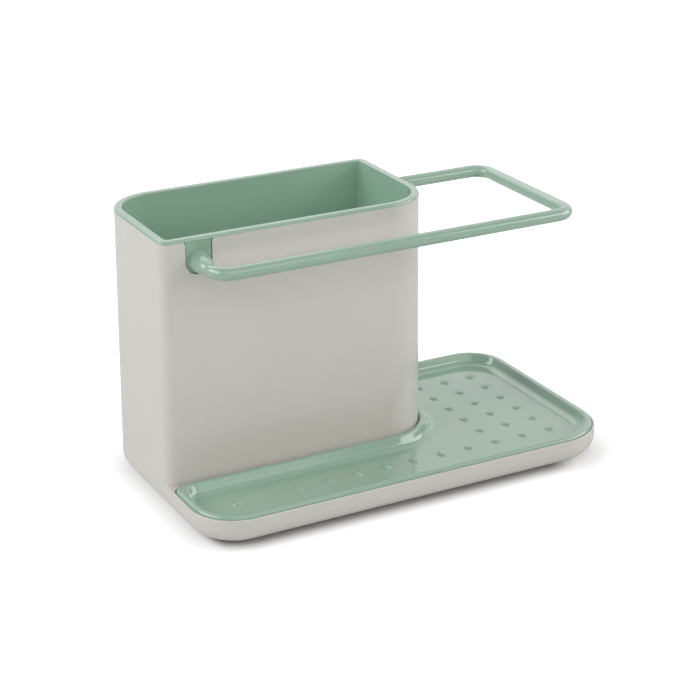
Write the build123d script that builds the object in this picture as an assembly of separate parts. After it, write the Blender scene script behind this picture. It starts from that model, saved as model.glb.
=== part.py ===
from build123d import *

import math
import os

# Kitchen sink caddy: a tall box and a shallow pan in one moulding, a liner with a cloth rail that
# hangs in the box, an L-shaped dish in the pan, and four rubber feet.
# Millimetres, +Z up, +X along the front from the box to the open end, front towards -Y.
# The origin is on the surface that the caddy stands on, under the middle of the body.

# Body, outside
body_length = 205.0
body_depth = 114.0
foot_stand_out = 1.2
pan_height = 12.0
bottom_edge_radius = 8.0
open_end_length = 70.8
front_strip_depth = 42.7
seam_height = 122.9
wall_draft = 0.6

# Corner radii seen from above
pan_front_left_radius = 21.0
pan_front_right_radius = 26.0
pan_back_right_radius = 20.0
box_large_radius = 23.5
box_tight_radius = 5.5
tightest_radius = 1.5

# Body, walls and wells
floor_thickness = 2.0
pan_wall = 2.3
pan_lip = 1.0
lip_depth = 1.8
lip_edge_radius = 0.5
pan_well_edge_radius = 6.0
pan_well_end_radius = 7.0
foot_ledge = 1.8
box_wall_at_seam = 1.6
cavity_taper = 0.4
cavity_edge_radius = 4.0

# Notches in the box's wall, where the rail comes out
notch_width = 12.2
notch_depth = 14.8
notch_corner_radius = 5.8
notch_mouth_radius = 1.4

# Tabs of the liner that fill the notches
tab_clearance = 0.35
tab_recess = 0.4
tab_height_in_rim = 0.4

# Liner
liner_clearance = 0.35
liner_wall = 1.6
liner_floor = 1.8
drip_space = 6.5
liner_inner_edge_radius = 3.0
rim_height = 1.3
rim_overhang = 0.15
rim_outer_radius = 1.2
rim_inner_radius = 0.8

# Drain holes in the liner's floor, as many as fit inside a margin from the box's outside
hole_radius = 2.5
hole_pitch = 18.0
hole_margin = 20.0

# Cloth rail: one bar, bent round three corners
rail_radius = 2.9
rail_below_seam = 9.8
rail_reach = 19.0
rail_overhang = 59.1
rail_bend_radius = 7.5
front_root_from_side = 16.9
side_root_from_back = 12.8
rail_in_wall = 0.8

# Boss at each end of the rail, narrowing from the tab to the bar
boss_radius = 4.9
boss_middle_radius = 4.2
boss_length = 11.0
boss_middle_share = 0.42
boss_rise = 0.6

# Drain plate
plate_clearance = 0.3
plate_stand_up = 1.5
bead_width = 3.0
bead_outer_radius = 1.7
bead_inner_radius = 1.1
plate_wall = 1.6
dish_depth = 4.95
dish_cove_radius = 4.0
dish_draft = 25.0
dish_end_radius = 7.5
dish_under_inset = 2.6
dish_under_radius = 4.0
plate_end_radius = 6.0

# Pips on the drain plate: from the front right one on, as many as keep these margins.
# The front row has a bare place beside its last pip.
pip_radius = 2.5
pip_height = 1.2
pip_pitch_along = 14.55
pip_pitch_across = 13.8
pip_right_margin = 21.8
pip_front_margin = 22.9
pip_left_margin = 15.0
pip_back_margin = 15.0
pip_box_margin = 12.0
pip_sink = 0.3

# Feet
foot_radius = 5.0
foot_recess_depth = 0.8
foot_recess_clearance = 0.15
foot_inset = 20.0
foot_edge_chamfer = 0.3

# How far a cutting tool runs past what it cuts
overrun = 5.0

# Levels
body_bottom = foot_stand_out
pan_rim = body_bottom + pan_height
ledge_level = pan_rim - lip_depth
floor_level = body_bottom + floor_thickness
plate_top = pan_rim + plate_stand_up
dish_floor = plate_top - dish_depth
plate_bottom = dish_floor - plate_wall
liner_bottom = floor_level + drip_space
rail_level = seam_height - rail_below_seam

# The way down, and a primitive that stands on its base
DOWN = (0, 0, -1)
ON_BASE = (Align.CENTER, Align.CENTER, Align.MIN)

# Edges of the body and of the box at the body's bottom
left = -body_length / 2
right = body_length / 2
front = -body_depth / 2
back = body_depth / 2
box_right = right - open_end_length
box_front = front + front_strip_depth

# The draft draws the box's four faces in by this much at the seam
seam_draw = (seam_height - body_bottom) * math.tan(math.radians(wall_draft))
pan_radii = (pan_front_left_radius, pan_front_right_radius, pan_back_right_radius, box_large_radius)
box_radii = (box_tight_radius, box_large_radius, box_tight_radius, box_large_radius)


def rounded_rectangle(x_low, x_high, y_low, y_high, radii):
    """Face with its own radius at the front left, front right, back right and back left corner."""
    front_left, front_right, back_right, back_left = radii
    corners = (
        (x_low + front_left, y_low + front_left, front_left, 180),
        (x_high - front_right, y_low + front_right, front_right, 270),
        (x_high - back_right, y_high - back_right, back_right, 0),
        (x_low + back_left, y_high - back_left, back_left, 90),
    )
    arcs = [CenterArc((x, y), radius, start, 90) for x, y, radius, start in corners]
    sides = [Line(arcs[i] @ 1, arcs[(i + 1) % 4] @ 0) for i in range(4)]
    return make_face(Curve() + arcs + sides)


def copies(span, pitch):
    """How many copies a pitch apart stand on a span, with one at its start."""
    return int(span / pitch) + 1


def inset(radii, distance):
    """The corner radii of an outline drawn in by a distance."""
    return tuple(radius - distance for radius in radii)


def box_section(distance):
    """The box's section at the seam, drawn in from its outside by a distance."""
    total = seam_draw + distance
    radii = tuple(max(radius - total, tightest_radius) for radius in box_radii)
    outline = rounded_rectangle(left + total, box_right - total, box_front + total, back - total, radii)
    return Pos(Z=seam_height) * outline


def pan_section(from_edge, from_box, end_radius):
    """L-shaped face round the box's foot, this far from the body's edge and from the box."""
    radii = inset(pan_radii, from_edge)
    whole = rounded_rectangle(
        left + from_edge, right - from_edge, front + from_edge, back - from_edge, radii
    )
    radii = (tightest_radius, box_large_radius + from_box, tightest_radius, tightest_radius)
    box_side = rounded_rectangle(
        left - overrun, box_right + from_box, box_front - from_box, back + overrun, radii
    )
    shape = whole - box_side
    left_end = shape.vertices().sort_by(Axis.X)[:2].sort_by(Axis.Y)[-1]
    back_end = shape.vertices().sort_by(Axis.Y)[-2:].sort_by(Axis.X)[0]
    return fillet([left_end, back_end], end_radius)


def bottom_edges(shape):
    """The edges round a solid's lowest face."""
    return shape.faces().sort_by(Axis.Z)[0].outer_wire().edges()


def feet_places():
    """Name and centre of each foot."""
    reach_x = right - foot_inset
    reach_y = back - foot_inset
    return {
        "foot_front_left": (-reach_x, -reach_y),
        "foot_front_right": (reach_x, -reach_y),
        "foot_back_left": (-reach_x, reach_y),
        "foot_back_right": (reach_x, reach_y),
    }


def front_root():
    """Centre of the front rail root on the box's front face at the seam."""
    return Vector(left + seam_draw + front_root_from_side, box_front + seam_draw, rail_level)


def side_root():
    """Centre of the side rail root on the box's right face at the seam."""
    return Vector(box_right - seam_draw, back - seam_draw - side_root_from_back, rail_level)


def notch_section(gap, mouth_height):
    """The notch and its flared mouth, drawn in by a gap, centred on x = 0 and with the seam at y = 0."""
    slot = Pos(Y=gap - notch_depth / 2) * Rectangle(notch_width - 2 * gap, notch_depth)
    slot = fillet(slot.vertices().sort_by(Axis.Y)[:2], notch_corner_radius - gap)
    mouth_width = notch_width + 2 * (notch_mouth_radius + overrun)
    shape = slot + Pos(Y=gap + mouth_height / 2) * Rectangle(mouth_width, mouth_height)
    mouth_corners = shape.vertices().group_by(Axis.Y)[-2].sort_by(Axis.X)[1:3]
    return fillet(mouth_corners, notch_mouth_radius + gap)


def notch():
    """Cutting tool for a notch through a wall in the XZ plane, from the seam down."""
    return extrude(Plane.XZ * notch_section(0, overrun), box_wall_at_seam * 2, both=True)


def make_outer_body():
    """Box and pan in one moulding."""
    pan_foot = rounded_rectangle(left, right, front, back, pan_radii)
    pan = extrude(Pos(Z=body_bottom) * pan_foot, pan_height, taper=wall_draft)
    pan = fillet(pan.faces().sort_by(Axis.Z)[-1].edges(), lip_edge_radius)
    well = extrude(Pos(Z=floor_level) * pan_section(pan_wall, foot_ledge, pan_well_end_radius), pan_height)
    pan -= fillet(bottom_edges(well), pan_well_edge_radius)
    rebate = pan_section(pan_lip, -plate_clearance, plate_end_radius)
    pan -= extrude(Pos(Z=ledge_level) * rebate, pan_height)
    box_foot = rounded_rectangle(left, box_right, box_front, back, box_radii)
    box = extrude(Pos(Z=body_bottom) * box_foot, seam_height - body_bottom, taper=wall_draft)
    body = pan + box
    body = fillet(bottom_edges(body), bottom_edge_radius)

    cavity_depth = seam_height - floor_level
    cavity = extrude(box_section(box_wall_at_seam), cavity_depth, dir=DOWN, taper=cavity_taper)
    body -= fillet(bottom_edges(cavity), cavity_edge_radius)

    root = front_root()
    body -= Pos(root.X, root.Y, seam_height) * notch()
    root = side_root()
    body -= Pos(root.X, root.Y, seam_height) * Rot(Z=90) * notch()

    recess = Cylinder(foot_radius + foot_recess_clearance, foot_recess_depth, align=ON_BASE)
    for x, y in feet_places().values():
        body -= Pos(x, y, body_bottom) * recess
    return body


def rail_boss():
    """The boss at a rail end, standing along +Z from the box's face, with +Y up the box."""
    base = Pos(0, boss_rise, -rail_in_wall) * Circle(boss_radius)
    share = 1 - boss_middle_share
    middle = Pos(0, boss_rise * share, boss_length * boss_middle_share) * Circle(boss_middle_radius)
    tip = Pos(Z=boss_length) * Circle(rail_radius)
    return loft([base, middle, tip])


def tab():
    """The tab that fills a notch, in the XZ plane with its outer face towards -Y."""
    thickness = box_wall_at_seam + liner_clearance + rail_in_wall - tab_recess
    section = notch_section(tab_clearance, tab_height_in_rim)
    return Pos(Y=tab_recess) * extrude(Plane.XZ * section, -thickness)


def make_utensil_liner():
    """Liner with its rim, its drained floor and the cloth rail."""
    outside = box_wall_at_seam + liner_clearance
    shell = extrude(box_section(outside), seam_height - liner_bottom, dir=DOWN, taper=cavity_taper)
    shell = fillet(bottom_edges(shell), cavity_edge_radius)
    rim = extrude(box_section(-rim_overhang), rim_height)
    rim = fillet(rim.faces().sort_by(Axis.Z)[-1].edges(), rim_outer_radius)
    liner = shell + rim

    depth = seam_height - liner_bottom - liner_floor
    room = extrude(box_section(outside + liner_wall), depth, dir=DOWN, taper=cavity_taper)
    room = fillet(bottom_edges(room), liner_inner_edge_radius)
    mouth = extrude(box_section(outside + liner_wall), rim_height + overrun)
    liner = liner - room - mouth

    mouth_edges = liner.faces().filter_by(Axis.Z).sort_by(Axis.Z)[-1].inner_wires()[0].edges()
    liner = fillet(mouth_edges, rim_inner_radius)

    middle_x = (left + box_right) / 2
    middle_y = (box_front + back) / 2
    hole = Cylinder(hole_radius, liner_floor * 2)
    columns = copies(box_right - left - 2 * hole_margin, hole_pitch)
    rows = copies(back - box_front - 2 * hole_margin, hole_pitch)
    for place in GridLocations(hole_pitch, hole_pitch, columns, rows):
        liner -= Pos(middle_x, middle_y, liner_bottom + liner_floor / 2) * place * hole

    front_start = front_root()
    side_start = side_root()
    bar_y = front_start.Y - rail_reach
    bar_x = side_start.X + rail_overhang
    path = FilletPolyline(
        (front_start.X, front_start.Y + outside, rail_level),
        (front_start.X, bar_y, rail_level),
        (bar_x, bar_y, rail_level),
        (bar_x, side_start.Y, rail_level),
        (side_start.X - outside, side_start.Y, rail_level),
        radius=rail_bend_radius,
    )
    liner += sweep(Plane(path @ 0, z_dir=path % 0) * Circle(rail_radius), path=path)
    liner += Pos(front_start) * Rot(X=90) * rail_boss()
    liner += Pos(side_start) * Rot(Z=90) * Rot(X=90) * rail_boss()
    liner += Pos(front_start.X, front_start.Y, seam_height) * tab()
    liner += Pos(side_start.X, side_start.Y, seam_height) * Rot(Z=90) * tab()
    return liner


def pip_places():
    """Centres of the pips: full columns at the open end, and one row along the whole front."""
    first_x = right - pip_right_margin
    first_y = front + pip_front_margin
    columns = copies(first_x - left - pip_left_margin, pip_pitch_along)
    full_columns = copies(first_x - box_right - pip_box_margin, pip_pitch_along)
    rows = copies(back - first_y - pip_back_margin, pip_pitch_across)
    bare_column = columns - 2
    places = []
    for column in range(columns):
        if column == bare_column:
            continue
        for row in range(rows if column < full_columns else 1):
            places.append((first_x - column * pip_pitch_along, first_y + row * pip_pitch_across))
    return places


def make_drain_plate():
    """L-shaped dish with a rolled bead round it, coved walls and raised pips."""
    edge = pan_lip + plate_clearance
    outline = Pos(Z=ledge_level) * pan_section(edge, plate_clearance, plate_end_radius)
    bead = extrude(outline, plate_top - ledge_level)
    bead = fillet(bead.faces().sort_by(Axis.Z)[-1].edges(), bead_outer_radius)
    under = pan_section(edge + dish_under_inset, plate_clearance + dish_under_inset, dish_end_radius)
    dish = extrude(Pos(Z=ledge_level) * under, ledge_level - plate_bottom, dir=DOWN, taper=dish_draft)
    plate = bead + fillet(bottom_edges(dish), dish_under_radius)

    inner = pan_section(edge + bead_width, plate_clearance + bead_width, dish_end_radius)
    room = extrude(Pos(Z=plate_top) * inner, dish_depth, dir=DOWN, taper=dish_draft)
    plate -= fillet(bottom_edges(room), dish_cove_radius)
    inner_edges = plate.faces().filter_by(Axis.Z).sort_by(Axis.Z)[-1].inner_wires()[0].edges()
    plate = fillet(inner_edges, bead_inner_radius)

    ball = (pip_radius**2 + pip_height**2) / (2 * pip_height)
    low_angle = math.degrees(math.asin((ball - pip_height - pip_sink) / ball))
    pip = Sphere(ball, low_angle, align=ON_BASE)
    return plate + [Pos(x, y, dish_floor - pip_sink) * pip for x, y in pip_places()]


def make_foot(place):
    """Rubber foot, seated in its recess."""
    foot = Cylinder(foot_radius, foot_stand_out + foot_recess_depth, align=ON_BASE)
    foot = chamfer(bottom_edges(foot), foot_edge_chamfer)
    return Pos(*place) * foot


nodes = {
    "outer_body": make_outer_body(),
    "utensil_liner": make_utensil_liner(),
    "drain_plate": make_drain_plate(),
}
for foot_name, foot_place in feet_places().items():
    nodes[foot_name] = make_foot(foot_place)

os.makedirs("parts", exist_ok=True)
for name, shape in nodes.items():
    export_step(shape, f"parts/{name}.step")
    print(f"{name}: {shape.volume:.0f} mm3, {len(shape.solids())} solid, {len(shape.faces())} faces")
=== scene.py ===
import logging
import math
from dataclasses import dataclass
from enum import Enum
from typing import Any

import bpy
from mathutils import Matrix, Vector

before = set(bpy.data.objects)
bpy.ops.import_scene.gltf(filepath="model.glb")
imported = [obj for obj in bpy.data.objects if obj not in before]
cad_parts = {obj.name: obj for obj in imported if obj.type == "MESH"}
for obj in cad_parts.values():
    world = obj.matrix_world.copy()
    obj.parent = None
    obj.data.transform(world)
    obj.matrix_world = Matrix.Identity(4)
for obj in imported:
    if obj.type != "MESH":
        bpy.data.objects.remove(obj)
log = logging.getLogger("sink_caddy")

Colour = tuple[float, float, float]
Point = tuple[float, float, float]
Span = tuple[float, float]
Fade = tuple[float, float, float, float]

WHITE_LIGHT = (1.0, 1.0, 1.0, 1.0)


def srgb(red: int, green: int, blue: int) -> Colour:
    """Linear colour of an sRGB colour given in steps of 0 to 255.

    Args:
        red: Red channel.
        green: Green channel.
        blue: Blue channel.

    Returns:
        The three channels in linear light.
    """
    shares = [channel / 255.0 for channel in (red, green, blue)]
    return tuple(s / 12.92 if s <= 0.04045 else ((s + 0.055) / 1.055) ** 2.4 for s in shares)


def direction(azimuth: float, elevation: float) -> Vector:
    """Direction from the caddy to a place around it.

    Args:
        azimuth: Degrees round from the front, positive to the right.
        elevation: Degrees above the floor.

    Returns:
        The unit vector.
    """
    turn, lift = math.radians(azimuth), math.radians(elevation)
    flat = math.cos(lift)
    return Vector((math.sin(turn) * flat, -math.cos(turn) * flat, math.sin(lift)))


class Blend(Enum):
    """Ways in which two colours are mixed."""

    MIX = "MIX"
    MULTIPLY = "MULTIPLY"


class Wire:
    """One output socket of a node tree, with operators that add Math nodes."""

    def __init__(self, tree: "ShaderTree", socket: bpy.types.NodeSocket) -> None:
        """Args: tree: the tree that holds the socket. socket: the output socket."""
        self.tree = tree
        self.socket = socket

    def _math(self, operation: str, *values: Any) -> "Wire":
        """Adds a Math node.

        Args:
            operation: Blender's name of the operation.
            values: Wires or numbers for its inputs.

        Returns:
            The node's output.
        """
        return self.tree.node("ShaderNodeMath", {"operation": operation}, dict(enumerate(values)))

    def __add__(self, other: Any) -> "Wire":
        """Returns the sum."""
        return self._math("ADD", self, other)

    __radd__ = __add__

    def __sub__(self, other: Any) -> "Wire":
        """Returns the difference."""
        return self._math("SUBTRACT", self, other)

    def __rsub__(self, other: Any) -> "Wire":
        """Returns the difference, the other way round."""
        return self._math("SUBTRACT", other, self)

    def __mul__(self, other: Any) -> "Wire":
        """Returns the product."""
        return self._math("MULTIPLY", self, other)

    __rmul__ = __mul__

    def __truediv__(self, other: Any) -> "Wire":
        """Returns the quotient."""
        return self._math("DIVIDE", self, other)

    def __pow__(self, other: Any) -> "Wire":
        """Returns the power."""
        return self._math("POWER", self, other)

    def __abs__(self) -> "Wire":
        """Returns the size without its sign."""
        return self._math("ABSOLUTE", self)

    def clamp(self, low: float = 0.0, high: float = 1.0) -> "Wire":
        """Returns the value kept between two limits."""
        return self._math("MINIMUM", self._math("MAXIMUM", self, low), high)

    def step(self, low: float, high: float) -> "Wire":
        """Smooth rise from 0 at one value to 1 at another.

        Args:
            low: Value at which the rise starts.
            high: Value at which it ends.

        Returns:
            The share of the rise, from 0 to 1.
        """
        return self.tree.node("ShaderNodeMapRange", {"interpolation_type": "SMOOTHSTEP"}, {
            "Value": self, "From Min": low, "From Max": high, "To Min": 0.0, "To Max": 1.0,
        })


class ShaderTree:
    """A material's or world's node tree, emptied and built again."""

    def __init__(self, owner: Any) -> None:
        """Args: owner: the material or world whose tree is built."""
        owner.use_nodes = True
        self.tree = owner.node_tree
        self.tree.nodes.clear()

    def node(self, kind: str, settings: dict[str, Any] | None = None,
             inputs: dict[Any, Any] | None = None, output: Any = 0) -> Wire:
        """Adds one node.

        Args:
            kind: The node's type.
            settings: Properties, set before the inputs.
            inputs: Values or wires by the socket's name or index.
            output: Name or index of the output to return.

        Returns:
            That output.
        """
        made = self.tree.nodes.new(kind)
        for name, value in (settings or {}).items():
            setattr(made, name, value)
        for key, value in (inputs or {}).items():
            if isinstance(value, Wire):
                self.tree.links.new(value.socket, made.inputs[key])
            else:
                made.inputs[key].default_value = value
        return Wire(self, made.outputs[output])

    def place(self) -> Wire:
        """Returns the Object coordinates, which are metres in the caddy's frame."""
        return self.node("ShaderNodeTexCoord", output="Object")

    def ray(self, kind: str) -> Wire:
        """Returns 1 for rays of a kind that Light Path names, and 0 for others."""
        return self.node("ShaderNodeLightPath", output=kind)

    def mirrored(self) -> Wire:
        """Returns 1 for rays from a mirror or through clear matter, and 0 for others."""
        return (self.ray("Is Glossy Ray") + self.ray("Is Transmission Ray")).clamp()

    def axis(self, vector: Wire, name: str) -> Wire:
        """Returns one of a vector's parts, "X", "Y" or "Z"."""
        return self.node("ShaderNodeSeparateXYZ", inputs={"Vector": vector}, output=name)

    def facing(self, place: Wire, point: Point, softness: float = 0.005) -> Wire:
        """Tells surfaces that face a point, as a hollow's walls face its middle, from the others.

        The dot product of their normal and the way from the point to the surface is below 0.

        Args:
            place: Object coordinates.
            point: The point, in metres.
            softness: How far from 0 the change between them reaches.

        Returns:
            1 on surfaces that face the point, and 0 on others.
        """
        away = self.node("ShaderNodeVectorMath", {"operation": "SUBTRACT"}, {0: place, 1: point})
        normal = self.node("ShaderNodeTexCoord", output="Normal")
        dot = {"operation": "DOT_PRODUCT"}
        lean = self.node("ShaderNodeVectorMath", dot, {0: normal, 1: away}, output="Value")
        return 1.0 - lean.step(-softness, softness)

    def noise(self, vector: Wire, scale: float, detail: float = 3.0) -> Wire:
        """Cloudy noise.

        Args:
            vector: Where it is read.
            scale: Waves per unit of the vector.
            detail: Octaves.

        Returns:
            The noise, about 0.5 on average.
        """
        inputs = {"Vector": vector, "Scale": scale, "Detail": detail}
        return self.node("ShaderNodeTexNoise", inputs=inputs)

    def stretched_noise(self, vector: Wire, waves: Point, detail: float = 3.0) -> Wire:
        """Cloudy noise with its own number of waves per metre along each axis.

        Args:
            vector: Where it is read.
            waves: Waves per metre along X, Y and Z.
            detail: Octaves.

        Returns:
            The noise, about 0.5 on average.
        """
        scaled = self.node("ShaderNodeMapping", inputs={"Vector": vector, "Scale": waves})
        return self.noise(scaled, 1.0, detail)

    def mix(self, factor: Any, first: Any, second: Any, blend: Blend = Blend.MIX) -> Wire:
        """Mixes two colours.

        Args:
            factor: Share of the second colour.
            first: Colour or wire.
            second: Colour or wire.
            blend: How they are mixed.

        Returns:
            The mixed colour.
        """
        # The node's sockets for colours are those with these indices
        factor_in, first_in, second_in, colour_out = 0, 6, 7, 2
        first, second = (c if isinstance(c, Wire) else (*c, 1.0) for c in (first, second))
        settings = {"data_type": "RGBA", "blend_type": blend.value}
        inputs = {factor_in: factor, first_in: first, second_in: second}
        return self.node("ShaderNodeMix", settings, inputs, output=colour_out)

    def bump(self, height: Wire, distance: float, under: Wire | None = None) -> Wire:
        """Bumps the normal by a height.

        Args:
            height: The height, from 0 to 1.
            distance: What a height of 1 is, in metres.
            under: Normal of an earlier bump, on which this one stands.

        Returns:
            The bumped normal.
        """
        inputs = {"Height": height, "Distance": distance}
        if under:
            inputs["Normal"] = under
        return self.node("ShaderNodeBump", inputs=inputs)

    def surface(self, shader: Wire, kind: str = "ShaderNodeOutputMaterial") -> None:
        """Ends the tree in an output node.

        Args:
            shader: The shader to show.
            kind: The output node's type.
        """
        end = self.tree.nodes.new(kind)
        self.tree.links.new(shader.socket, end.inputs["Surface"])


@dataclass(frozen=True)
class PaintedShading:
    """Painted light and shade: a slight change of colour inside a box with soft sides.

    Along each axis the box is given as the place where it starts, where it is full, where it starts
    to fade and where it ends. With a middle given, the change reaches only the surfaces that face
    that point, such as a hollow's walls and floor.
    """

    colour: Colour
    across: Fade
    depth: Fade
    height: Fade
    middle: Point | None = None

    def over(self, tree: ShaderTree, place: Wire, colour: Wire) -> Wire:
        """Changes a colour inside the box.

        Args:
            tree: The material's tree.
            place: Object coordinates.
            colour: The colour outside the box.

        Returns:
            The changed colour.
        """
        share: Any = 1.0
        sides = zip("XYZ", (self.across, self.depth, self.height))
        for name, (start, full, fading, end) in sides:
            along = tree.axis(place, name)
            share = along.step(start, full) * (1.0 - along.step(fading, end)) * share
        if self.middle:
            share = tree.facing(place, self.middle) * share
        return tree.mix(share, colour, self.colour, Blend.MULTIPLY)


@dataclass(frozen=True)
class MouldedGloss:
    """Injection-moulded gloss plastic.

    Its colour is even, with soft flow clouding and a fine mottle, and a box of painted light and
    shade may change it. Its gloss has a faint ripple, wiped patches and fine hairlines. Waves are
    per metre and heights in metres.
    """

    name: str
    colour: Colour
    shaded_colour: Colour
    roughness: float
    index: float = 1.5
    coat: float = 0.3
    coat_roughness: float = 0.05
    painted_shading: PaintedShading | None = None
    cloud_waves: float = 38.0
    cloud_span: Span = (0.32, 0.68)
    clouding: float = 0.35
    cloud_roughness: float = 0.05
    mottle_waves: float = 900.0
    mottling: float = 0.08
    mottle_roughness: float = 0.02
    wiped_waves: Point = (60.0, 60.0, 240.0)
    wiped_roughness: float = 0.05
    roughness_limits: Span = (0.05, 0.9)
    ripple_waves: float = 160.0
    ripple_height: float = 0.000012
    hairline_waves: Point = (420.0, 2600.0, 90.0)
    hairline_height: float = 0.0000035

    def material(self) -> bpy.types.Material:
        """Returns the finished material."""
        made = bpy.data.materials.new(self.name)
        tree = ShaderTree(made)
        place = tree.place()

        clouds = tree.noise(place, self.cloud_waves, detail=4.0)
        mottle = tree.noise(place, self.mottle_waves, detail=2.0)
        shading = clouds.step(*self.cloud_span) * self.clouding + mottle * self.mottling
        colour = tree.mix(shading.clamp(), self.colour, self.shaded_colour)
        # Painted light and shade from the given box, where there is one
        if self.painted_shading:
            colour = self.painted_shading.over(tree, place, colour)

        wiped = tree.stretched_noise(place, self.wiped_waves)
        roughness = (self.roughness + (clouds - 0.5) * self.cloud_roughness
                     + (wiped - 0.5) * self.wiped_roughness + mottle * self.mottle_roughness)

        ripple = tree.noise(place, self.ripple_waves, detail=2.0)
        hairlines = tree.stretched_noise(place, self.hairline_waves, detail=2.0)
        rippled = tree.bump(ripple, self.ripple_height)

        shader = tree.node("ShaderNodeBsdfPrincipled", inputs={
            "Base Color": colour,
            "Roughness": roughness.clamp(*self.roughness_limits),
            "Normal": tree.bump(hairlines, self.hairline_height, rippled),
            "IOR": self.index,
            "Coat Weight": self.coat,
            "Coat IOR": self.index,
            "Coat Roughness": self.coat_roughness,
        })
        tree.surface(shader)
        return made


@dataclass(frozen=True)
class FootRubber:
    """Matt dark rubber with a fine grain and a little dust. Waves are per metre."""

    name: str = "foot_rubber"
    colour: Colour = srgb(46, 46, 47)
    dusty_colour: Colour = srgb(70, 70, 70)
    dust_waves: float = 300.0
    dust_span: Span = (0.45, 0.75)
    dusting: float = 0.5
    roughness: float = 0.72
    grain_waves: float = 4200.0
    grain_roughness: float = 0.16
    grain_height: float = 0.00004

    def material(self) -> bpy.types.Material:
        """Returns the finished material."""
        made = bpy.data.materials.new(self.name)
        tree = ShaderTree(made)
        place = tree.place()
        grain = tree.noise(place, self.grain_waves)
        dust = tree.noise(place, self.dust_waves, detail=4.0).step(*self.dust_span)
        shader = tree.node("ShaderNodeBsdfPrincipled", inputs={
            "Base Color": tree.mix(dust * self.dusting, self.colour, self.dusty_colour),
            "Roughness": (self.roughness + grain * self.grain_roughness).clamp(),
            "Normal": tree.bump(grain, self.grain_height),
        })
        tree.surface(shader)
        return made


# Painted shade: a faint warm, darker tint low on the box's front wall
PAINTED_WARM_SHADE_FRONT_FOOT = PaintedShading(
    colour=(1.0, 0.945, 0.95),
    across=(-0.11, -0.109, 0.109, 0.11),
    depth=(-0.022, -0.016, -0.0125, -0.0085),
    height=(0.011, 0.015, 0.02, 0.07),
)

# Painted light: lighter green on the liner's inner walls and floor, up to its rim
PAINTED_LIGHT_LINER_INSIDE = PaintedShading(
    colour=(1.2, 1.2, 1.2),
    across=(-0.11, -0.109, 0.0268, 0.0276),
    depth=(-0.0114, -0.0108, 0.06, 0.061),
    height=(0.0, 0.008, 0.1228, 0.1238),
    middle=(-0.035, 0.021, 0.065),
)

WHITE_PLASTIC = MouldedGloss(
    name="white_plastic",
    colour=srgb(216, 214, 208),
    shaded_colour=srgb(212, 210, 203),
    roughness=0.2,
    painted_shading=PAINTED_WARM_SHADE_FRONT_FOOT,
)

GREEN_PLASTIC = MouldedGloss(
    name="green_plastic",
    colour=srgb(155, 187, 167),
    shaded_colour=srgb(151, 183, 163),
    roughness=0.12,
    index=1.55,
    coat=0.85,
    coat_roughness=0.09,
    painted_shading=PAINTED_LIGHT_LINER_INSIDE,
)


def dress(node: str, material: bpy.types.Material) -> None:
    """Gives a CAD node its finish.

    Args:
        node: The node's name.
        material: The finish.
    """
    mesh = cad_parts[node].data
    mesh.materials.clear()
    mesh.materials.append(material)
    log.info("%s: %s, %d faces", node, material.name, len(mesh.polygons))


@dataclass(frozen=True)
class Body:
    """The body, whose box and pan are one moulding, and the four feet under it."""

    plastic: bpy.types.Material
    rubber: bpy.types.Material
    moulding: str = "outer_body"
    foot_prefix: str = "foot_"

    def dress(self) -> None:
        """Gives the moulding and the feet their finishes."""
        dress(self.moulding, self.plastic)
        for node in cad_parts:
            if node.startswith(self.foot_prefix):
                dress(node, self.rubber)


@dataclass(frozen=True)
class Liner:
    """The liner that lifts out of the box, one moulding with its cloth rail."""

    plastic: bpy.types.Material
    moulding: str = "utensil_liner"

    def dress(self) -> None:
        """Gives the moulding its finish."""
        dress(self.moulding, self.plastic)


@dataclass(frozen=True)
class DrainPlate:
    """The dish with raised pips that lifts out of the pan."""

    plastic: bpy.types.Material
    moulding: str = "drain_plate"

    def dress(self) -> None:
        """Gives the moulding its finish."""
        dress(self.moulding, self.plastic)


@dataclass(frozen=True)
class PhotoCamera:
    """Camera at the photograph's place and lens.

    Its focal length is in pixels of a square frame, angles are in degrees and lengths in metres.
    """

    frame_px: int = 700
    focal_px: float = 1885.3
    sensor_mm: float = 36.0
    azimuth: float = -28.546
    elevation: float = 22.366
    roll: float = 0.030
    distance: float = 0.81431
    target: Point = (-0.02113, -0.02751, 0.06677)
    clip: Span = (0.05, 60.0)

    def build(self) -> None:
        """Makes the camera and sets it as the scene's."""
        lens = bpy.data.cameras.new("camera")
        lens.sensor_width = self.sensor_mm
        lens.lens = self.focal_px / self.frame_px * self.sensor_mm
        lens.clip_start, lens.clip_end = self.clip
        camera = bpy.data.objects.new("camera", lens)
        bpy.context.scene.collection.objects.link(camera)
        back = direction(self.azimuth, self.elevation)
        level = (-back).to_track_quat("-Z", "Y").to_matrix()
        turn = level @ Matrix.Rotation(math.radians(self.roll), 3, "Z")
        place = Matrix.Translation(Vector(self.target) + back * self.distance)
        camera.matrix_world = place @ turn.to_4x4()
        bpy.context.scene.camera = camera


@dataclass(frozen=True)
class Softbox:
    """Rectangular lamp that faces the caddy: its angles in degrees, its size in metres, its colour
    and its power in watts."""

    name: str
    azimuth: float
    elevation: float
    size: Span
    colour: Colour
    power: float
    distance: float = 1.5
    aim: Point = (0.0, 0.0, 0.05)

    def build(self) -> None:
        """Makes the lamp."""
        data = bpy.data.lights.new(self.name, "AREA")
        data.shape = "RECTANGLE"
        data.size, data.size_y = self.size
        data.color = self.colour
        data.energy = self.power
        lamp = bpy.data.objects.new(self.name, data)
        bpy.context.scene.collection.objects.link(lamp)
        out = direction(self.azimuth, self.elevation)
        lamp.location = Vector(self.aim) + out * self.distance
        lamp.rotation_euler = (-out).to_track_quat("-Z", "Y").to_euler()


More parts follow.
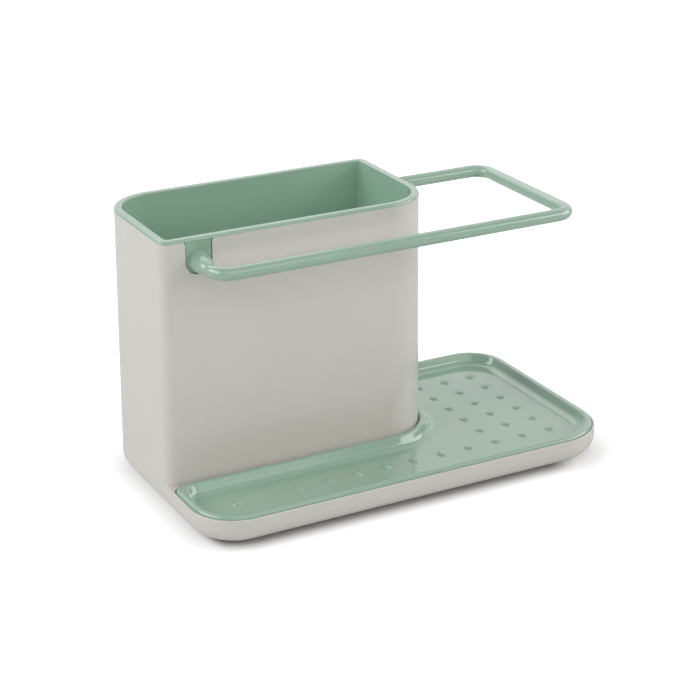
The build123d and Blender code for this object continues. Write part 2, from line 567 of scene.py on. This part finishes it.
@dataclass(frozen=True)
class Floor:
    """White floor that keeps the caddy's shadow, with a painted contact shadow around the body.

    A glow that only the camera and mirrors see turns it plain white away from the caddy. The glow
    rises with the distance from the body's footprint, a rectangle with round corners, so the dark
    band next to the body is painted shadow over the real one. Along the front and the back this
    shadow is narrow and dark, and at the two ends wider and lighter.
    """

    radius: float = 6.0
    sides: int = 96
    colour: Colour = (0.86, 0.85, 0.84)
    # Darker colour that only the camera sees, which deepens the contact shadow: painted shade
    seen_colour: Colour = (0.56, 0.555, 0.56)
    footprint: Span = (0.1025, 0.057)
    footprint_corner: float = 0.023
    shadow_start: float = -0.0042
    shadow_reach: float = 0.0105
    soft_shadow_start: float = -0.02
    soft_shadow_reach: float = 0.036
    left_end: Span = (-0.099, -0.092)
    right_end: Span = (0.07, 0.084)
    glow: float = 0.85
    far_glow: float = 0.3
    far_span: Span = (0.02, 0.4)
    mirrored_glow: float = 0.05

    def build(self) -> None:
        """Makes the floor and its material."""
        bpy.ops.mesh.primitive_circle_add(
            vertices=self.sides, radius=self.radius, fill_type="NGON")
        floor = bpy.context.object
        floor.name = "floor"
        made = bpy.data.materials.new("floor_white")
        tree = ShaderTree(made)
        place = tree.place()
        distance = self._distance(tree, place)
        camera = tree.ray("Is Camera Ray")
        colour = tree.mix(camera, self.colour, self.seen_colour)
        diffuse = tree.node("ShaderNodeBsdfDiffuse", inputs={"Color": colour})
        seen = camera * (distance.step(*self.far_span) * self.far_glow + self.glow)
        strength = seen + tree.mirrored() * self.mirrored_glow
        # Painted contact shadow: the glow is withheld near the footprint
        glow = tree.node("ShaderNodeEmission", inputs={
            "Color": WHITE_LIGHT,
            "Strength": strength * self._clear(tree, place, distance),
        })
        tree.surface(tree.node("ShaderNodeAddShader", inputs={0: diffuse, 1: glow}))
        floor.data.materials.append(made)

    def _distance(self, tree: ShaderTree, place: Wire) -> Wire:
        """Distance from the footprint's edge.

        It is the length of the way beyond the rectangle of the corners' centres, less their radius.

        Args:
            tree: The floor's tree.
            place: Object coordinates.

        Returns:
            The distance in metres, below 0 inside.
        """
        straight = [half - self.footprint_corner for half in self.footprint]
        beyond = [(abs(tree.axis(place, name)) - half).clamp(0.0, self.radius)
                  for name, half in zip("XY", straight)]
        return (beyond[0] ** 2 + beyond[1] ** 2) ** 0.5 - self.footprint_corner

    def _clear(self, tree: ShaderTree, place: Wire, distance: Wire) -> Wire:
        """Share of the glow that the painted contact shadow leaves.

        Args:
            tree: The floor's tree.
            place: Object coordinates.
            distance: Distance from the footprint's edge.

        Returns:
            The share, from 0 in full shadow to 1 outside it.
        """
        across = tree.axis(place, "X")
        ends = 1.0 - across.step(*self.left_end) + across.step(*self.right_end)
        near = ((distance - self.shadow_start) / self.shadow_reach).clamp()
        soft = ((distance - self.soft_shadow_start) / self.soft_shadow_reach).clamp()
        return near + (soft - near) * ends


@dataclass(frozen=True)
class Studio:
    """Floor, camera, softboxes and a white world, as a plain product photograph has."""

    softboxes: tuple[Softbox, ...] = (
        Softbox("left", -96.0, 32.0, (1.4, 0.9), (0.985, 0.995, 1.0), 11.6),
        Softbox("front", 0.0, 35.0, (1.4, 1.0), (1.0, 0.99, 0.975), 4.3),
        Softbox("right", 62.0, 23.0, (1.4, 0.8), (1.0, 0.995, 0.985), 9.2),
        Softbox("back", 180.0, 45.0, (1.4, 0.8), (1.0, 1.0, 1.0), 3.0),
    )
    world_strength: float = 0.26
    mirrored_strength: float = 0.5
    backdrop_side: Point = (0.442, 0.813, 0.38)
    backdrop_span: Span = (0.35, 0.8)

    def build(self) -> None:
        """Makes the floor, the camera, the lamps and the world."""
        Floor().build()
        PhotoCamera().build()
        for softbox in self.softboxes:
            softbox.build()
        self._world()

    def _world(self) -> None:
        """Makes a world that the camera sees as white and that gives the caddy softer light.

        Mirrors see it at half strength, and as white on the backdrop's side.
        """
        world = bpy.data.worlds.new("studio")
        bpy.context.scene.world = world
        tree = ShaderTree(world)
        way = tree.node("ShaderNodeTexCoord", output="Generated")
        side = tuple(Vector(self.backdrop_side).normalized())
        dot = {"operation": "DOT_PRODUCT"}
        towards = tree.node("ShaderNodeVectorMath", dot, {0: way, 1: side}, output="Value")
        backdrop = towards.step(*self.backdrop_span) * (1.0 - self.mirrored_strength)
        camera, mirrored = tree.ray("Is Camera Ray"), tree.mirrored()
        lit = (1.0 - camera) * (1.0 - mirrored) * self.world_strength
        strength = camera + mirrored * (self.mirrored_strength + backdrop) + lit
        inputs = {"Color": WHITE_LIGHT, "Strength": strength}
        tree.surface(tree.node("ShaderNodeBackground", inputs=inputs), "ShaderNodeOutputWorld")


def main() -> None:
    """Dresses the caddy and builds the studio."""
    logging.basicConfig(level=logging.INFO)
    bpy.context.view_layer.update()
    green_plastic = GREEN_PLASTIC.material()
    Body(WHITE_PLASTIC.material(), FootRubber().material()).dress()
    Liner(green_plastic).dress()
    DrainPlate(green_plastic).dress()
    Studio().build()
    bpy.context.scene.view_settings.view_transform = "Standard"


if __name__ == "__main__":
    main()
